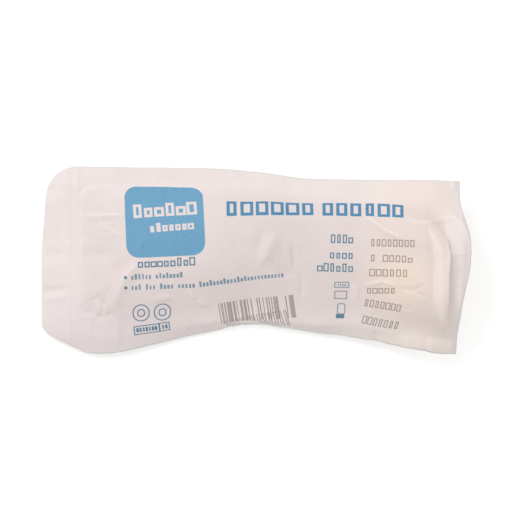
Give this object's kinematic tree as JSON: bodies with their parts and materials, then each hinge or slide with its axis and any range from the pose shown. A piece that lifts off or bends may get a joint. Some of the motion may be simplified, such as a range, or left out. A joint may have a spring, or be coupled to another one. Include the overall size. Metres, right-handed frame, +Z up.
{
  "type": "sealed oropharyngeal airway pouch",
  "caption": "Sealed paper and film peel pouch, bulging over a curved airway that lies on its side inside it, with a flat peel tab at one end and a raised flange end.",
  "frame": {"origin": "middle of the pouch's box, on the plane that it rests on", "axes": "+X along the pouch towards the flange end, +Y towards the long edge that is at the top of the picture, +Z up through the paper side"},
  "size_m": [0.1506, 0.066, 0.028],
  "materials": {
    "medical_paper": "matte",
    "pouch_film": "satin"
  },
  "bodies": {
    "root": {"sealed_pouch": "medical_paper"}
  },
  "joints": []
}
